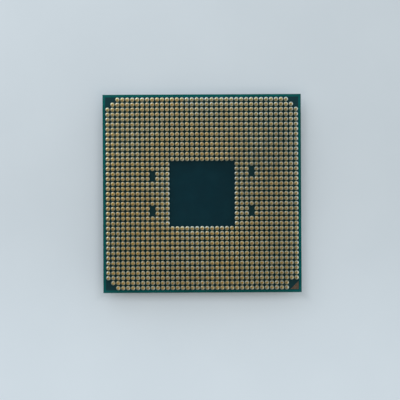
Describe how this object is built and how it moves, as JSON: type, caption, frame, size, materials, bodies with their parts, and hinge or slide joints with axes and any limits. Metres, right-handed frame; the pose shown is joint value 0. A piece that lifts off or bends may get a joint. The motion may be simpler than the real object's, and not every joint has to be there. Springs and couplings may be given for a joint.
{
  "type": "cpu chip",
  "caption": "Square processor package: a green laminate board with a field of gold pins on one side and a metal heat-spreading lid on the other.",
  "frame": {"origin": "middle of the lid's outer face, on which the chip lies", "axes": "+Z out of the board along the pins; the marked corner is at +X and -Y; X and Y run along the board's edges"},
  "size_m": [0.04, 0.04, 0.0063],
  "materials": {
    "solder_mask": "dark teal solder mask over laminate, satin gloss",
    "pin_gold": "gold-plated, bright",
    "pin_solder": "solder tinted by gold, satin",
    "marker_gold": "gold-plated copper, flat",
    "lid_nickel": "nickel plate over copper, satin",
    "sealant": "cured silicone, matte",
    "silicon": "polished silicon",
    "underfill": "cured epoxy",
    "thermal_metal": "soft metal solder, dull",
    "capacitor_ceramic": "fired ceramic",
    "tinned_ends": "tin plate, satin"
  },
  "bodies": {
    "root": {"substrate": "solder_mask", "outer_pins": "pin_gold", "inner_pins": "pin_gold", "outer_pin_solder": "pin_solder", "inner_pin_solder": "pin_solder", "pin_side_marker": "marker_gold", "lid_side_marker": "marker_gold", "heat_spreader": "lid_nickel", "lid_sealant": "sealant", "silicon_die": "silicon", "die_underfill": "underfill", "thermal_layer": "thermal_metal", "capacitor_bodies": "capacitor_ceramic", "capacitor_ends": "tinned_ends"}
  },
  "joints": []
}
